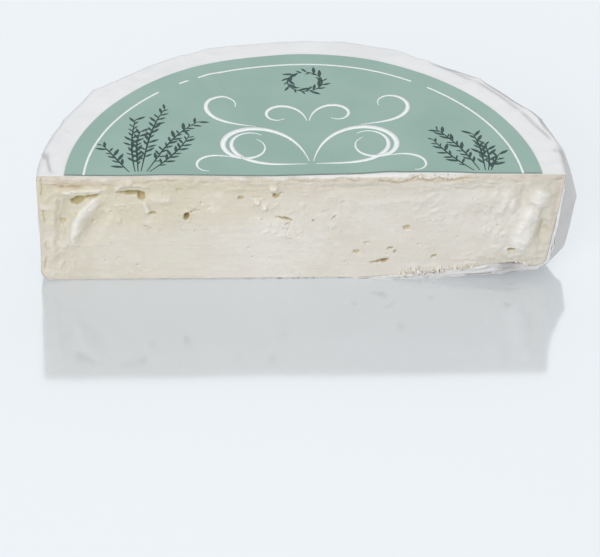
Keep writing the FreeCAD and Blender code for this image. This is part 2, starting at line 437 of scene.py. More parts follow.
def mesh_piece(name, points, faces):
    """A closed mesh with its faces turned outwards."""
    mesh = bpy.data.meshes.new(name)
    mesh.from_pydata(points.tolist(), [], faces)
    work = bmesh.new()
    work.from_mesh(mesh)
    bmesh.ops.recalc_face_normals(work, faces=work.faces)
    work.to_mesh(mesh)
    work.free()
    mesh.shade_smooth()
    return new_object(name, mesh)


def set_marks(mesh, marks):
    """Gives a mesh values point by point, which its finish reads by name."""
    for name, values in marks.items():
        attribute = mesh.attributes.new(name, "FLOAT", "POINT")
        attribute.data.foreach_set("value", values.ravel().astype(np.float32))


def grid_faces(n_rows, n_columns, first=0):
    """The faces of a grid of points that are numbered row by row."""
    starts = [first + r * n_columns + c for r in range(n_rows - 1) for c in range(n_columns - 1)]
    return [(at, at + 1, at + n_columns + 1, at + n_columns) for at in starts]


faces = grid_faces(rows, columns)
for r in range(shell_rows - 1):
    for c in range(1, columns - 2):
        faces.append((shell_at(r, c), shell_at(r + 1, c), shell_at(r + 1, c + 1), shell_at(r, c + 1)))
    for c, beside in ((0, 1), (columns - 1, columns - 2)):
        edge_points = [front_at(r * shell_step + n, c) for n in range(shell_step + 1)]
        faces += [(low, high, shell_at(r, beside)) for low, high in zip(edge_points, edge_points[1:])]
        faces.append((edge_points[-1], shell_at(r + 1, beside), shell_at(r, beside)))
cheese = mesh_piece("cheese_body", in_place(points), faces)
unseen = np.zeros(len(points) - rows * columns)
set_marks(cheese.data, {name: np.append(field, unseen) for name, field in tone.items()})


class Flow:
    """A socket's value on its way through a node tree. A sum on it adds Math nodes."""

    def __init__(self, tree, socket):
        self.tree, self.socket = tree, socket

    def out(self, name):
        return Flow(self.tree, find_socket(self.socket.node.outputs, name))

    def math(self, operation, first, second):
        return self.tree.node("ShaderNodeMath", {"operation": operation}, {0: first, 1: second})

    def __add__(self, other):
        return self.math("ADD", self, other)

    def __radd__(self, other):
        return self.math("ADD", other, self)

    def __sub__(self, other):
        return self.math("SUBTRACT", self, other)

    def __rsub__(self, other):
        return self.math("SUBTRACT", other, self)

    def __mul__(self, other):
        return self.math("MULTIPLY", self, other)

    def __rmul__(self, other):
        return self.math("MULTIPLY", other, self)

    def rise(self, low, high):
        """0 below low, 1 above high, smooth between."""
        return self.tree.node(
            "ShaderNodeMapRange",
            {"interpolation_type": "SMOOTHSTEP"},
            {"Value": self, "From Min": low, "From Max": high},
        )


def find_socket(sockets, name):
    if isinstance(name, int):
        return sockets[name]
    return next(socket for socket in sockets if name in (socket.identifier, socket.name))


class Tree:
    """A node tree being built, for a material or for geometry."""

    def __init__(self, tree):
        self.tree = tree
        tree.nodes.clear()

    def node(self, kind, settings=(), inputs=()):
        made = self.tree.nodes.new(kind)
        for name, value in dict(settings).items():
            setattr(made, name, value)
        for name, value in dict(inputs).items():
            socket = find_socket(made.inputs, name)
            if isinstance(value, Flow):
                self.tree.links.new(value.socket, socket)
            else:
                socket.default_value = value
        return Flow(self, made.outputs[0]) if made.outputs else None

    def mark(self, name):
        """A value that the piece carries point by point."""
        return self.node("ShaderNodeAttribute", {"attribute_name": name}).out("Fac")

    def vector(self, operation, first, second):
        return self.node("ShaderNodeVectorMath", {"operation": operation}, {0: first, 1: second})

    def mix(self, share, first, second):
        """A colour that goes from the first to the second as share goes from 0 to 1."""
        inputs = {"Factor_Float": share, "A_Color": first, "B_Color": second}
        return self.node("ShaderNodeMix", {"data_type": "RGBA"}, inputs).out("Result_Color")

    def noise(self, place, size, detail=3.0, roughness=0.5, distortion=0.0):
        """Cloudy noise whose clouds are about that many millimetres wide."""
        inputs = {
            "Vector": place,
            "Scale": 1 / (size * mm),
            "Detail": detail,
            "Roughness": roughness,
            "Distortion": distortion,
        }
        return self.node("ShaderNodeTexNoise", {}, inputs)


def new_finish(name):
    """A new material, its node tree and the place on the piece."""
    material = bpy.data.materials.new(name)
    material.use_nodes = True
    tree = Tree(material.node_tree)
    return material, tree, tree.node("ShaderNodeTexCoord").out("Object")


def colour(red, green, blue):
    """A colour from 0-255 screen values."""
    return (*[((c / 255 + 0.055) / 1.055) ** 2.4 for c in (red, green, blue)], 1.0)


def surface(tree, tint, roughness, gleam, bumps, more=()):
    """The shader that ends a finish. Each bump is a height and its strength in millimetres."""
    inputs = {"Base Color": tint, "Roughness": roughness, "Specular IOR Level": gleam, **dict(more)}
    for height, distance in bumps:
        settings = {"Height": height, "Distance": distance * mm}
        if "Normal" in inputs:
            settings["Normal"] = inputs["Normal"]
        inputs["Normal"] = tree.node("ShaderNodeBump", {}, settings)
    tree.node("ShaderNodeOutputMaterial", {}, {"Surface": tree.node("ShaderNodeBsdfPrincipled", {}, inputs)})


paste, tree, place = new_finish("goat_cheese_paste")
mark = {name: tree.mark(name) for name in tone}
clouds = tree.noise(place, 22)
mottle = tree.noise(place, 5, 4)
curd = tree.noise(place, 0.8, 3)
across = tree.node("ShaderNodeSeparateXYZ", {}, {0: place})
olive = (-1 * across).rise(20 * mm, 80 * mm) * (0.45 + 0.4 * across.out("Z").rise(20 * mm, 32 * mm))
tint = tree.mix(clouds.rise(0.35, 0.7), colour(231, 227, 218), colour(227, 221, 210))
beige_tone = tree.mix(across.out("X").rise(0, 50 * mm), colour(207, 199, 179), colour(210, 205, 191))
ivory = (-1 * across).rise(-5 * mm, 25 * mm) * across.out("Z").rise(22 * mm, 30 * mm) * 0.3
crust = tree.mix(mottle.rise(0.35, 0.65), colour(222, 213, 199), colour(211, 201, 185))
crust = tree.mix(curd.rise(0.5, 0.7) * 0.4, crust, colour(232, 226, 216))
for share, over in (
    (mark["beige"].rise(-0.4, 1.4), beige_tone),
    (olive * mottle.rise(0.25, 0.6), colour(217, 210, 188)),
    (ivory, colour(220, 210, 180)),
    (mottle.rise(0.55, 0.75) * 0.4, colour(236, 233, 227)),
    # Painted shade: the broad dents darken with their depth.
    (mark["pulled"].rise(0.1, 1.5) * 0.55, colour(212, 205, 184)),
    # Raised ridges and smears are lighter: partly the smoothed paste's own whiteness, partly a painted
    # highlight on their crests.
    (mark["smear_and_highlight"].rise(0.3, 1.6) * 0.7, colour(244, 242, 236)),
    (mark["rind"] * 0.85, crust),
    (mark["bloom"] * 0.8, colour(245, 243, 239)),
    (mark["ochre"] * 0.75, colour(178, 150, 104)),
    # Painted shade: eyes and slits darken towards brown with their depth.
    (mark["hollow"].rise(0.04, 0.4) * 0.85, colour(190, 174, 124)),
    (mark["hollow"].rise(0.3, 0.95) * 0.9, colour(134, 110, 54)),
):
    tint = tree.mix(share, tint, over)
glow_within = {"Subsurface Weight": 0.12, "Subsurface Radius": (1.0, 0.8, 0.5), "Subsurface Scale": 1.5 * mm}
dullness = 0.42 + 0.2 * mark["rind"] + 0.1 * mottle
surface(tree, tint, dullness, 0.45, [(curd, 0.15), (mottle, 0.3)], glow_within)
cheese.data.materials.append(paste)
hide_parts("cheese")
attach(cheese, "root")

# CRUMBS
# Crumbs of dry rind and curd that the knife left: along the top edge right of the middle, and under the foot.
# They are small lumps strewn over guide strips that lie just in front of the cut.
# Strips: from x, to x, low and high edge at the left end, slope.
crumbs_ahead = 0.25
dents_per_metre = 1400.0
crumb_strips = [
    (37, 55, 44.9, 46.8, 0),
    (36, 54, 0.8, 4.4, 0.07),
    (47, 55, 2.4, 4.8, 0.1),
    (54, 64, 3.2, 4.8, 0.17),
    (79, 84, 6.6, 7.8, -0.2),
]


def new_sizes(name, sizes):
    """A geometry tree that grows pieces from a guide, with a named input for each size."""
    group = bpy.data.node_groups.new(name, "GeometryNodeTree")
    tree = Tree(group)
    group.interface.new_socket("Guide", in_out="INPUT", socket_type="NodeSocketGeometry")
    for size, value in sizes.items():
        kind = "NodeSocketInt" if isinstance(value, int) else "NodeSocketFloat"
        group.interface.new_socket(size, in_out="INPUT", socket_type=kind)
    group.interface.new_socket("Pieces", in_out="OUTPUT", socket_type="NodeSocketGeometry")
    return group, tree, tree.node("NodeGroupInput")


def strew(tree, points, piece, turned_by, large, material):
    """Ends a geometry tree: one piece on each point, made real and given its finish."""
    inputs = {"Points": points, "Instance": piece, "Rotation": turned_by, "Scale": large}
    laid = tree.node("GeometryNodeInstanceOnPoints", {}, inputs)
    laid = tree.node("GeometryNodeRealizeInstances", {}, {"Geometry": laid})
    laid = tree.node("GeometryNodeSetMaterial", {}, {"Geometry": laid, "Material": material})
    tree.node("NodeGroupOutput", {}, {"Pieces": laid})


def grown(guide, group, sizes):
    """The guide's object, now holding what the tree grows from it as a plain mesh."""
    modifier = guide.modifiers.new(group.name, "NODES")
    modifier.node_group = group
    for socket in group.interface.items_tree:
        if socket.name in sizes:
            modifier[socket.identifier] = sizes[socket.name]
    graph = bpy.context.evaluated_depsgraph_get()
    made = bpy.data.meshes.new_from_object(guide.evaluated_get(graph))
    guide.modifiers.clear()
    guide.data = made
    return guide


guide_points, guide_faces = [], []
for x0, x1, z0, z1, slope in crumb_strips:
    first = len(guide_points)
    for at_x, at_z in ((x0, z0), (x1, z0 + slope * (x1 - x0)), (x1, z1 + slope * (x1 - x0)), (x0, z1)):
        guide_points.append((at_x, -crumbs_ahead, at_z))
    guide_faces.append((first, first + 1, first + 2, first + 3))
crumbs = mesh_piece("rind_crumbs", in_place(np.array(guide_points)), guide_faces)

rind_crumb, tree, place = new_finish("rind_crumb")
curd = tree.noise(place, 1.1, 3)
tint = tree.mix(curd.rise(0.54, 0.7), colour(232, 228, 218), colour(200, 184, 148))
surface(tree, tint, 0.55 + 0.1 * curd, 0.3, [(curd, 0.2)])

crumb_sizes = {"Crumbs per Square Metre": 430000.0, "Crumb Size": 0.0008, "Seed": 5}
group, tree, given = new_sizes("crumbs", crumb_sizes)
seed = given.out("Seed")
strewn = tree.node(
    "GeometryNodeDistributePointsOnFaces",
    {"distribute_method": "RANDOM"},
    {"Mesh": given.out("Guide"), "Density": given.out("Crumbs per Square Metre"), "Seed": seed},
)
lump = tree.node("GeometryNodeMeshIcoSphere", {}, {"Radius": given.out("Crumb Size"), "Subdivisions": 2})
spot = tree.node("GeometryNodeInputPosition")
dented = tree.node("ShaderNodeTexNoise", {}, {"Vector": spot, "Scale": dents_per_metre}).out("Color")
shifted = tree.vector("SUBTRACT", dented, (0.5, 0.5, 0.5))
scaled = {0: shifted, "Scale": given.out("Crumb Size")}
shifted = tree.node("ShaderNodeVectorMath", {"operation": "SCALE"}, scaled)
lump = tree.node("GeometryNodeSetPosition", {}, {"Geometry": lump, "Offset": shifted})
chances = {"Min": (0.0, 0.0, 0.0), "Max": (6.28, 6.28, 6.28), "Seed": seed}
turned_by = tree.node("FunctionNodeRandomValue", {"data_type": "FLOAT_VECTOR"}, chances)
chances = {"Min": (0.3, 0.3, 0.25), "Max": (1.9, 1.3, 1.0), "Seed": seed + 1}
large = tree.node("FunctionNodeRandomValue", {"data_type": "FLOAT_VECTOR"}, chances)
strew(tree, strewn, lump, turned_by, large, rind_crumb)
crumbs = grown(crumbs, group, crumb_sizes)
crumbs.data.shade_smooth()
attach(crumbs, "root")

# WRAPPER
# One sheet of white waxed paper, laid over the wheel, folded down its flank and under its foot.
# The spare paper is pleated: each pleat starts at the rim and widens to the foot, its edge on the next flat.
# The knife cut it off flush with the cheese; under the lifted heel its folded layers show crumpled.
wrap_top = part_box("wrapper")[1].z / mm
rim_round = 2.8
foot_round = 5.2
paper_thickness = 0.14
# Pleats from right to left: angle at the rim, sideways run to the foot, reach of the corner past the wheel,
# belly, tuck at the foot, width at the foot (its sign says which way the pleat lies), its edge's stand-off.
pleats = [
    (15.5, -8.2, 2.8, 5.1, 0.6, 0.1, 0),
    (25.5, -5, 5, -0.6, 6.5, 6, 0.5),
    (45, 5, 4, 0.2, 2.4, -8, 0.7),
    (66, 4, 3.4, 0.3, 2.4, 5, 0.5),
    (79, -5, 3.3, 0.3, 2.2, 12, 2.8),
    (94.5, 6, 2.4, 0.1, 1.6, -6, 0.6),
    (109.5, -4, 3.4, 0.5, 2.4, 9, 1),
    (125, -7, 2.6, 0.2, 1.8, -8, 0.7),
    (140.5, 5, 4.2, 0.4, 2.6, 10, 1.4),
    (153.5, 5, 2, 0.2, 1.2, 4, 0.4),
    (167, -3, 1.5, 0.3, 0.8, -6, 0.6),
]
belly_height = 26
# Rows of points round each rim and up the flank, and points along a flat between two pleats.
rim_levels, flank_levels, between = 10, 44, 34
# A valley crease narrower than this, and deeper, gets painted shade: a grey darkening along the fold.
sharp_width, sharp_depth = 1.5, 0.4
table_gap, cut_gap = 0.16, 0.16
# Creases pressed into the sheet: angle and distance down from the rim's edge at each end, height, half width,
# bow. A negative distance lies on the top. A negative height is a valley.
creases = [
    (13, 0.5, 6, 9, -0.5, 1.2, 0),
    (14.5, 2, 8, 20, 0.35, 1.6, 0.4),
    (167, 1, 175.2, -2.8, -0.9, 0.6, 0),
    (57, 0.6, 46, 0, -0.45, 0.7, 0.2),
    (44, 0.7, 30, 0.2, -0.5, 0.7, 0.2),
    (29, 0, 17, 1.6, -0.5, 0.7, 0.2),
    (160, -1, 170, -5, 0.35, 2.6, 0.5),
    (152, -3, 160, -6.5, 0.3, 2.2, 0.3),
    (139, -0.5, 145, -7, 0.4, 2.4, 0.2),
    (131, -0.5, 128, -6, -0.3, 2, 0.2),
    (112, -0.5, 108.5, -5.5, 0.3, 2, 0),
    (92, -0.5, 96, -5, 0.25, 2, 0.3),
    (63, -0.5, 68, -5.5, 0.35, 2.4, 0.2),
    (44, -0.5, 47, -7, 0.4, 2.4, -0.2),
    (30, -0.5, 25, -6, 0.3, 2.2, 0.2),
    (17, 4, 22, 30, 0.6, 3, 0.6),
    (27, 3, 42, 26, 0.9, 4.5, 1.5),
    (31, 44, 41, 22, -0.7, 3.5, 1),
    (48, 4, 61, 20, 0.8, 5, 1),
    (52, 40, 67, 24, 0.9, 5, -1.5),
    (69, 6, 74, 34, 0.7, 3.5, 1),
    (84, 3, 94, 17, 0.9, 4.5, 1.5),
    (83, 42, 92, 27, -0.8, 3.5, 1),
    (98, 5, 104, 38, 0.8, 4, -1.5),
    (112, 4, 121, 22, 1, 4.5, 1.5),
    (111, 40, 118, 26, 0.8, 4, 1),
    (128, 6, 134, 24, -0.8, 4, 1),
    (129, 44, 140, 30, 1, 4, 1),
    (144, 4, 152, 20, 0.8, 4.5, -1),
    (148, 42, 157, 28, 0.8, 4, 1.2),
    (158, 5, 164, 26, 0.7, 4, 1),
    (169, 6, 176, 26, 0.4, 3.5, 0.5),
]
# A tuck pushed in near the foot, as crossing short creases.
for middle in (62.0, 121.0, 150.0):
    creases += [
        (middle - 3, 33, middle + 2.5, 37, 1, 1.6, 0.4),
        (middle + 2.5, 37, middle - 0.5, 45, -0.9, 1.6, -0.4),
        (middle - 2, 38, middle - 1, 46, 0.8, 1.4, 0.2),
    ]


def hug(angle, fall):
    """The least reach of the sheet at an angle. It stands off the wheel more at the back than at the cut."""
    return wheel_radius + 0.4 + 1.9 * np.sqrt(np.maximum(np.sin(np.radians(angle)), 0)) * (1 - 0.75 * fall)


def paper_underside(x):
    """How far the wrapper's foot is lifted off the table, under the heel."""
    return 1.5 * ease(x, 52, 66) + 0.1 * np.maximum(x - 66, 0) + 0.55 * ease(x, 80, 90)


def heel_gap(height):
    """How far the folded layers hold the sheet off the cheese, up the right side of the cut."""
    return 1.3 * ease(40 - height, 0, 30) * (1 + 0.35 * patches(height, 0 * height, 5, 521))


def paper_levels():
    """Rows from under the wheel to its top: height, how far turned in, share of the way out from the cut."""
    quarter = np.radians(np.linspace(0, 90, rim_levels))
    levels = [(0, foot_round, share) for share in (0.0, 0.3, 0.6, 0.8, 0.9, 0.96)]
    for turn in quarter:
        levels.append((foot_round * (1 - math.cos(turn)), foot_round * (1 - math.sin(turn)), 1.0))
    for height in np.linspace(foot_round, wrap_top - rim_round, flank_levels)[1:-1]:
        levels.append((height, 0, 1.0))
    for turn in quarter:
        levels.append((wrap_top - rim_round * (1 - math.sin(turn)), rim_round * (1 - math.cos(turn)), 1.0))
    inward = (0.99, 0.98, 0.97, 0.96, 0.95, 0.94, 0.93, 0.92, 0.91, 0.9, 0.88, 0.8, 0.6, 0.35, 0.0)
    levels += [(wrap_top, rim_round, share) for share in inward]
    return levels


def polar(radius, degrees):
    return np.array([radius * math.cos(math.radians(degrees)), radius * math.sin(math.radians(degrees))])


def paper_end(height, side):
    """Where the paper meets the cut on one side, level by level: it lies close against the cheese."""
    cheese_rows = np.linspace(0, 1, rows)
    stand_off = cut_gap + (heel_gap(height) if side > 0 else 0)
    cheese_reach = np.interp(height / wrap_top, cheese_rows, flank(cheese_rows, side))
    reach = math.hypot(cheese_reach + side * stand_off, past_axis)
    angle = math.degrees(math.asin(past_axis / reach))
    return polar(reach, angle if side > 0 else 180 - angle)


def outline_at(height, turned_in):
    """Key points of one level, each an (x, y) from the axis, with the flats between them left out."""
    fall = 1 - height / wrap_top
    begun = ease(fall, 0.04, 0.25)
    keys = [[paper_end(height, 1)]]
    for angle, run, corner, belly, tuck, width, stand_off in pleats:
        middle = angle + run * fall ** (0.8 if angle < 20 else 1.3)
        lifted = paper_underside(polar(wheel_radius, middle)[0]) * (1 - belly_height / wrap_top)
        belly_share = np.interp(height, [0, belly_height - lifted, wrap_top], [0, 1, 0])
        spare = math.degrees(abs(width) * max(fall, 0.0) ** 1.2 / wheel_radius) / 2
        side = 1 if width > 0 else -1
        radius = wheel_radius + corner + belly * belly_share - tuck * fall - turned_in
        opened = stand_off * ease(fall, 0.1, 0.7) * (1 - ease(fall, 0.9, 1.0))
        # The pleat's layers of paper, as turn round the axis and stand-off, from its free edge to its root.
        layers = [
            (side * spare, 0.55 * begun + opened),
            (side * (spare + 0.08 * begun), 0.42 * begun + opened),
            (side * spare, 0.28 * begun + opened * 0.9),
            (-side * spare, 0.28 * begun),
            (-side * (spare + 0.08 * begun), 0.14 * begun),
            (-side * spare, 0.0),
        ]
        keys.append([polar(radius + out, middle + turn) for turn, out in layers[::side]])
    keys.append([paper_end(height, -1)])
    return keys


def paper_row(height, turned_in, inward):
    """One row of the sheet's points, flats filled in, from the cut on the right to the cut on the left."""
    keys = outline_at(height, turned_in)
    fall = 1 - height / wrap_top
    row = [keys[0][0]]
    for span, (before, after) in enumerate(zip(keys, keys[1:])):
        start, end = before[-1], after[0]
        for n in range(1, between):
            share = n / between
            point = start + (end - start) * share
            radius = math.hypot(*point)
            least = hug(math.degrees(math.atan2(point[1], point[0])), fall) - turned_in
            within = ease(min(n, between - n), 0, between / 2) * (span > 0)
            row.append(point * (1 + within * max(least - radius, 0) / radius))
        row += after
    row = np.array(row)
    radius = np.hypot(row[:, 0], row[:, 1])
    to_cut = past_axis / (row[:, 1] / radius)
    scale = (to_cut + (radius - to_cut) * inward) / radius
    return row * scale[:, None]


# The sheet's rows, then the creases and crinkles that move its points out or in.
levels = paper_levels()
flat_rows = np.array([paper_row(*level) for level in levels])
across, away = flat_rows[..., 0], flat_rows[..., 1]
height = np.array([float(level[0]) for level in levels])[:, None] + 0 * across
turn = np.arctan2(away, across)
radius = np.hypot(across, away)
edge_radius = hug(np.degrees(turn), 0) - rim_round
on_top = height > wrap_top - 0.01
arc = turn * wheel_radius
down = np.where(on_top, radius - edge_radius, wrap_top - height)

crinkle = 0.3 * torn(arc, down * 0.6, 19, 201) + 0.1 * (1 - 3 * abs(patches(arc, down * 0.5, 8, 211)))
crinkle += 0.05 * (1 - 3 * abs(patches(arc * 0.7 + down, down * 0.7 - arc * 0.3, 4.2, 221)))
# painted_fold_shade is painted shade: a grey darkening along sharp valley creases, where shade falls in the
# fold.
painted_fold_shade = np.zeros_like(crinkle)
for angle0, down0, angle1, down1, rise, half_width, bow in creases:
    arc0, arc1 = math.radians(angle0) * wheel_radius, math.radians(angle1) * wheel_radius
    place_along, beside = along(arc, down, arc0, down0, arc1, down1, bow)
    ends = ease(1.25 - abs(place_along), 0, 0.5)
    crinkle += rise * ends * np.exp(-abs(beside) / half_width)
    if rise < -sharp_depth and half_width < sharp_width:
        painted_fold_shade = np.maximum(painted_fold_shade, ends * hump(beside, 0, half_width))
behind_cut = away - past_axis
crinkle *= ease(radius, label_radius - 3, label_radius + 2) * ease(height, 0.5, 6) * ease(behind_cut, 0.0, 3)
crinkle = np.where(on_top, np.maximum(crinkle, -0.2 - 0.3 * ease(behind_cut, 3, 8)), crinkle)
side_share = 1 - ease(height, wrap_top - rim_round, wrap_top)
sheet_x = across + np.cos(turn) * side_share * crinkle
sheet_y = away + np.sin(turn) * side_share * crinkle * ease(behind_cut, -0.01, 1.5) - past_axis
up_share = height / wrap_top
sheet_z = height + (1 - side_share) * crinkle + top_rise(sheet_x) * up_share
sheet_z += (paper_underside(sheet_x) + table_gap) * (1 - up_share)
# At the cut the sheet lies against the lifted heel's flank.
against = underside(sheet_x) + up_share * (topside(sheet_x) + 0.2 - underside(sheet_x))
close_by = (1 - ease(sheet_y, 0, 7)) * ease(up_share, 0.0, 0.04) * (sheet_x > 60)
sheet_z += close_by * (against - sheet_z)


def thick_sheet(name, layers, thickness, crease, marks, flipped=False):
    """Paper in layers, each a grid of points as its x, y and z, given its thickness inwards."""
    points = in_place(np.concatenate([np.stack(layer, axis=2).reshape(-1, 3) for layer in layers]))
    faces = []
    for n, (layer_x, _, _) in enumerate(layers):
        faces += grid_faces(*layer_x.shape, n * layer_x.size)
    if flipped:
        faces = [face[:1] + face[:0:-1] for face in faces]
    mesh = bpy.data.meshes.new(name)
    mesh.from_pydata(points.tolist(), [], faces)
    set_marks(mesh, marks)
    work = bmesh.new()
    work.from_mesh(mesh)
    bmesh.ops.remove_doubles(work, verts=work.verts, dist=0.00002)
    bmesh.ops.dissolve_degenerate(work, edges=work.edges, dist=0.00001)
    work.to_mesh(mesh)
    work.free()
    piece = new_object(name, mesh)
    solid = piece.modifiers.new("thickness", "SOLIDIFY")
    solid.thickness = thickness * mm
    solid.offset = -1
    graph = bpy.context.evaluated_depsgraph_get()
    piece.data = bpy.data.meshes.new_from_object(piece.evaluated_get(graph))
    piece.modifiers.clear()
    piece.data.shade_smooth()
    piece.data.set_sharp_from_angle(angle=math.radians(crease))
    return piece


shades = {"painted_fold_shade": painted_fold_shade}
wrapper = thick_sheet("wrapper_paper", [(sheet_x, sheet_y, sheet_z)], paper_thickness, 28, shades)
white_paper, tree, place = new_finish("waxed_wrapping_paper")
fibre = tree.noise(place, 0.6, 4)
cockle = tree.noise(place, 9, 3, 0.55, 0.6)
cloud = tree.noise(place, 30, 2)
tint = tree.mix(cloud.rise(0.35, 0.7), colour(240, 240, 239), colour(234, 234, 234))
# Painted shade: a grey tint along sharp valley creases and between the heel's plies.
tint = tree.mix(tree.mark("painted_fold_shade") * 0.7, tint, colour(180, 178, 180))
surface(tree, tint, 0.4 + 0.15 * cockle, 0.4, [(fibre, 0.02), (cockle, 0.35)])
wrapper.data.materials.append(white_paper)
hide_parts("wrapper")
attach(wrapper, "root")

# HEEL FOLDS
# The wrapper's gathered layers where the knife cut through them, under the lifted heel of the cheese:
# six plies of the same paper, crumpled together, cut a little unevenly, their lips drawn down by the knife.
plies, ply_thickness = 6, 0.13
heel_from_x, heel_to_x, heel_run_back = 19, 88.5, 9
heel_corner_x = 77.5
ply_x, ply_y = np.meshgrid(np.linspace(heel_from_x, heel_to_x, 260), np.linspace(0, 1, 14))
heel_layers = []
low_edge, high_edge = paper_underside(ply_x), underside(ply_x)
room = high_edge - low_edge
for ply in range(plies):
    share = (ply + 0.6) / plies
    ragged = 0.45 * torn(ply_x, 0 * ply_x + ply * 7, 7, 401 + ply)
    ragged -= 0.7 * ease(torn_line(ply_x, 13, 431 + ply), 0.2, 0.6)
    front_edge = -0.45 + 0.06 * ply + ragged
    run_back = front_edge + (heel_run_back - front_edge) * ply_y**1.6
    ruffle = room * 0.14 * (1 - 3 * abs(patches(ply_x * 0.4 + ply * 9, run_back * 0.5, 3.4, 451)))
    lip = room / plies * 0.9 * (1 - ease(run_back - front_edge, 0, 1.3))
    level_z = low_edge + room * (share + 0.1 * torn(ply_x, run_back, 11, 471 + ply)) + ruffle - lip
    level_z -= 1.6 * share**2 * hump(ply_x, heel_corner_x, 3.2)
    level_z = level_z.clip(0.15 + low_edge * 0.9, high_edge + 0.2)
    heel_layers.append((ply_x, run_back, level_z))
# Painted shade: the plies darken round the heel's corner, where the gap between them lies in shade.
shades = {"painted_fold_shade": np.tile(1.2 * hump(ply_x, heel_corner_x - 0.5, 4).ravel(), plies)}
heel = thick_sheet("heel_folds", heel_layers, ply_thickness, 24, shades)
heel.data.materials.append(white_paper)
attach(heel, "root")

# FLANK FOLDS
# The same gathered layers where they turn up the right side of the cut, pressed together and thinning out
# upwards.
flank_plies, flank_ply_thickness = 3, 0.36
flank_to, flank_run_back = 0.86, 4
ply_z, ply_y = np.meshgrid(np.linspace(0, flank_to, 110), np.linspace(0, 1, 8))
ply_height = ply_z * wrap_top
room = heel_gap(ply_height)
flank_layers = []
for ply in range(flank_plies):
    front_edge = -0.3 + 0.8 * torn(ply_height, 0 * ply_height + ply * 5, 4, 501 + ply)
    run_back = front_edge + (flank_run_back - front_edge) * ply_y
    share = ply / flank_plies + 0.12 * patches(ply_height, run_back, 3.1, 511 + ply)
    ply_x = flank(ply_z, 1) + room * share - 0.05
    level_z = underside(ply_x) + ply_z * (topside(ply_x) - underside(ply_x))
    flank_layers.append((ply_x, run_back, level_z))
flank_folds = thick_sheet("flank_folds", flank_layers, flank_ply_thickness, 24, {})
flank_folds.data.materials.append(white_paper)
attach(flank_folds, "root")

# LABEL
# A half-round of thin matt paper, printed grey green all over, stuck flat on the wrapper and cut off with it.
# It is a little cockled, lifts at its rim, and the knife dragged its straight edge back right of the middle.
label_thickness = (label_high.z - label_low.z) / mm
label_face = label_low.z / mm + label_thickness * 0.8
label_sheet = 0.16
# Soft folds across it: x and distance behind the cut of each end, height.
label_folds = [
    (-39, 61, -32, 40, 0.3),
    (-34, 70, -26, 38, 0.35),
    (18, 20, 30, 12, 0.15),
]


def label_lift(x, y):
    """How far the label's face lies above its base: a little cockled, and lifting at its rim."""
    rim = ease(np.hypot(x, y + past_axis), label_radius - 4, label_radius)
    lift = 0.1 + 0.14 * torn(x, y, 34, 301) + 0.12 * rim * (1 + patches(x, y, 15, 311))
    for x0, y0, x1, y1, rise in label_folds:
        place, beside = along(x, y, x0, y0, x1, y1, 1.0)
        lift = lift + rise * ease(1.3 - abs(place), 0, 0.7) * hump(beside, 0, 2.6)
    return lift


def set_back(x):
    """How far the label's straight edge lies behind the wrapper's, where the knife dragged it."""
    dragged = ease(x, 16, 34) * (0.3 + 0.9 * ease(66 - x, 0, 14))
    return dragged * (1 + 0.2 * torn_line(x, 9, 331))


rings = np.concatenate([[0, 0.004, 0.008], np.linspace(0.02, 0.9, 44), np.linspace(0.92, 1, 7)])
spoke, ring = np.meshgrid(np.linspace(0, 1, 361), rings)
start = math.asin(past_axis / label_radius)
angle = start + spoke * (math.pi - 2 * start)
nearest = past_axis / np.sin(angle)
reach = nearest + (label_radius - nearest) * ring
label_x, label_y = reach * np.cos(angle), reach * np.sin(angle) - past_axis
# Painted shade: a dark band along the label's straight edge, where the edge lies in shadow.
painted_edge_shade = 1 - ease(label_y, 0.3, 0.75)
label_y += set_back(label_x) * (1 - ease(label_y, 0, 6))
label_z = label_face + label_lift(label_x, label_y) + top_rise(label_x)
edges = {"painted_edge_shade": painted_edge_shade}
label = thick_sheet("label_half_round", [(label_x, label_y, label_z)], label_sheet, 40, edges, flipped=True)
green, tree, place = new_finish("printed_green_paper")
fibre = tree.noise(place, 0.35, 3)
cloud = tree.noise(place, 26, 2)
tint = tree.mix(cloud.rise(0.3, 0.7), colour(157, 186, 174), colour(150, 180, 168))
# Painted shade darkens the label's straight edge.
tint = tree.mix(tree.mark("painted_edge_shade") * 0.8, tint, colour(112, 124, 112))
surface(tree, tint, 0.5 + 0.1 * fibre, 0.3, [(fibre, 0.01)])
label.data.materials.append(green)
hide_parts("label")
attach(label, "root")

# LABEL PRINT
# White ink on the label: a fine ring inside its edge, broken in three places, and a pair of mirrored scrolls
# whose strokes swell in the middle. The ink is a thin raised film.
ink_height = 0.022
ring_radius, ring_width = 79.8, 0.85
ring_angles = [(4.2, 52), (57, 118), (121, 124), (131, 175.8)]


def on_label(flat):
    """Flat points (x, y, height) laid on the label's face."""
    face = label_face + label_lift(flat[:, 0], flat[:, 1]) + top_rise(flat[:, 0])
    return np.column_stack([flat[:, 0], flat[:, 1], flat[:, 2] + face])


def ribbon(path, widths):
    """A closed flat ribbon along a path on the label: its points and its faces."""
    path, half = np.asarray(path), np.asarray(widths)[:, None] / 2
    way = np.gradient(path, axis=0)
    across = np.column_stack([-way[:, 1], way[:, 0]]) / np.hypot(way[:, 0], way[:, 1])[:, None]
    count = len(path)
    rails = [path + across * half, path - across * half]
    points = np.concatenate([
        np.column_stack([rail, np.full(count, up)]) for up in (ink_height, -ink_height) for rail in rails
    ])
    faces = []
    for n in range(count - 1):
        left, right, low_left, low_right = (n + k * count for k in range(4))
        faces += [
            (left, right, right + 1, left + 1),
            (low_right, low_left, low_left + 1, low_right + 1),
            (low_left, left, left + 1, low_left + 1),
            (right, low_right, low_right + 1, right + 1),
        ]
    for n in (0, count - 1):
        faces.append((n, n + 2 * count, n + 3 * count, n + count))
    return points, faces


